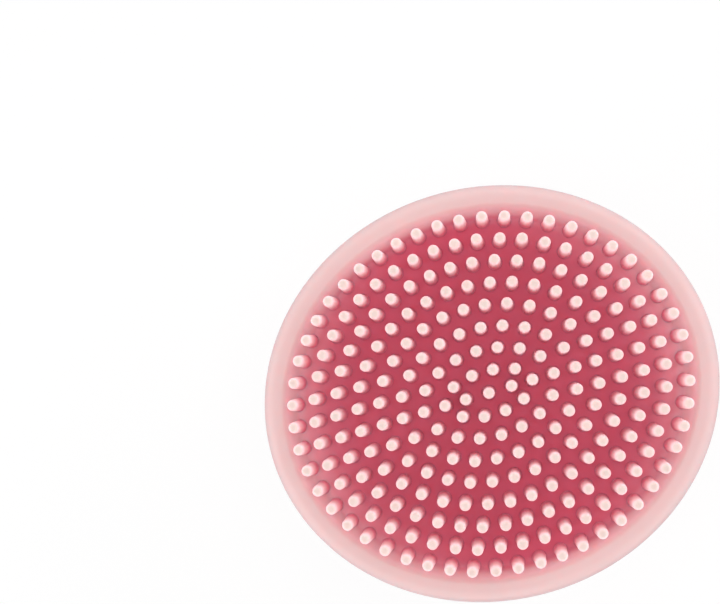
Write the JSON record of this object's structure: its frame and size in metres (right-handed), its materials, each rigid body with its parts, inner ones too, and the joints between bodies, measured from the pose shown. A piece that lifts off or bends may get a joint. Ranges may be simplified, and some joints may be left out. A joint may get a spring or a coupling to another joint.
{
  "type": "facial cleansing brush",
  "caption": "Flexible oval hand-held silicone pad with a rounded rim and concentric rows of soft round-tipped bristles on one face, for cleansing the skin.",
  "frame": {"origin": "centre of the pad's flat back face, on the surface it rests on", "axes": "+X along the pad's long axis, +Y along its short axis, +Z out of the bristle side"},
  "size_m": [0.107, 0.0966, 0.0135],
  "materials": {
    "rim": "satin pale pink silicone",
    "web": "satin rose silicone",
    "bristles": "satin pale pink silicone"
  },
  "bodies": {
    "left_half": {"left_bristles_row_2": "bristles", "left_bristles_row_3": "bristles", "left_bristles_row_4": "bristles", "left_bristles_row_5": "bristles", "left_bristles_row_6": "bristles", "left_bristles_row_7": "bristles", "left_bristles_row_8": "bristles", "left_rim": "rim", "left_web": "web", "middle_bristles_row_0": "bristles", "middle_bristles_row_1": "bristles", "middle_bristles_row_2": "bristles", "middle_bristles_row_3": "bristles", "middle_bristles_row_4": "bristles", "middle_bristles_row_5": "bristles", "middle_bristles_row_6": "bristles", "middle_bristles_row_7": "bristles", "middle_bristles_row_8": "bristles", "middle_rim": "rim", "middle_web": "web"},
    "right_half": {"right_bristles_row_2": "bristles", "right_bristles_row_3": "bristles", "right_bristles_row_4": "bristles", "right_bristles_row_5": "bristles", "right_bristles_row_6": "bristles", "right_bristles_row_7": "bristles", "right_bristles_row_8": "bristles", "right_rim": "rim", "right_web": "web"}
  },
  "joints": [
    {"name": "fold", "type": "hinge", "parent": "left_half", "child": "right_half", "pos_m": [0, 0, 0.00125], "axis": [0, -1, 0], "range_deg": [-70, 70], "stiffness_Nm_per_rad": 0.02, "deforming": ["middle_bristles_row_0", "middle_bristles_row_1", "middle_bristles_row_2", "middle_bristles_row_3", "middle_bristles_row_4", "middle_bristles_row_5", "middle_bristles_row_6", "middle_bristles_row_7", "middle_bristles_row_8", "middle_rim", "middle_web"]}
  ]
}
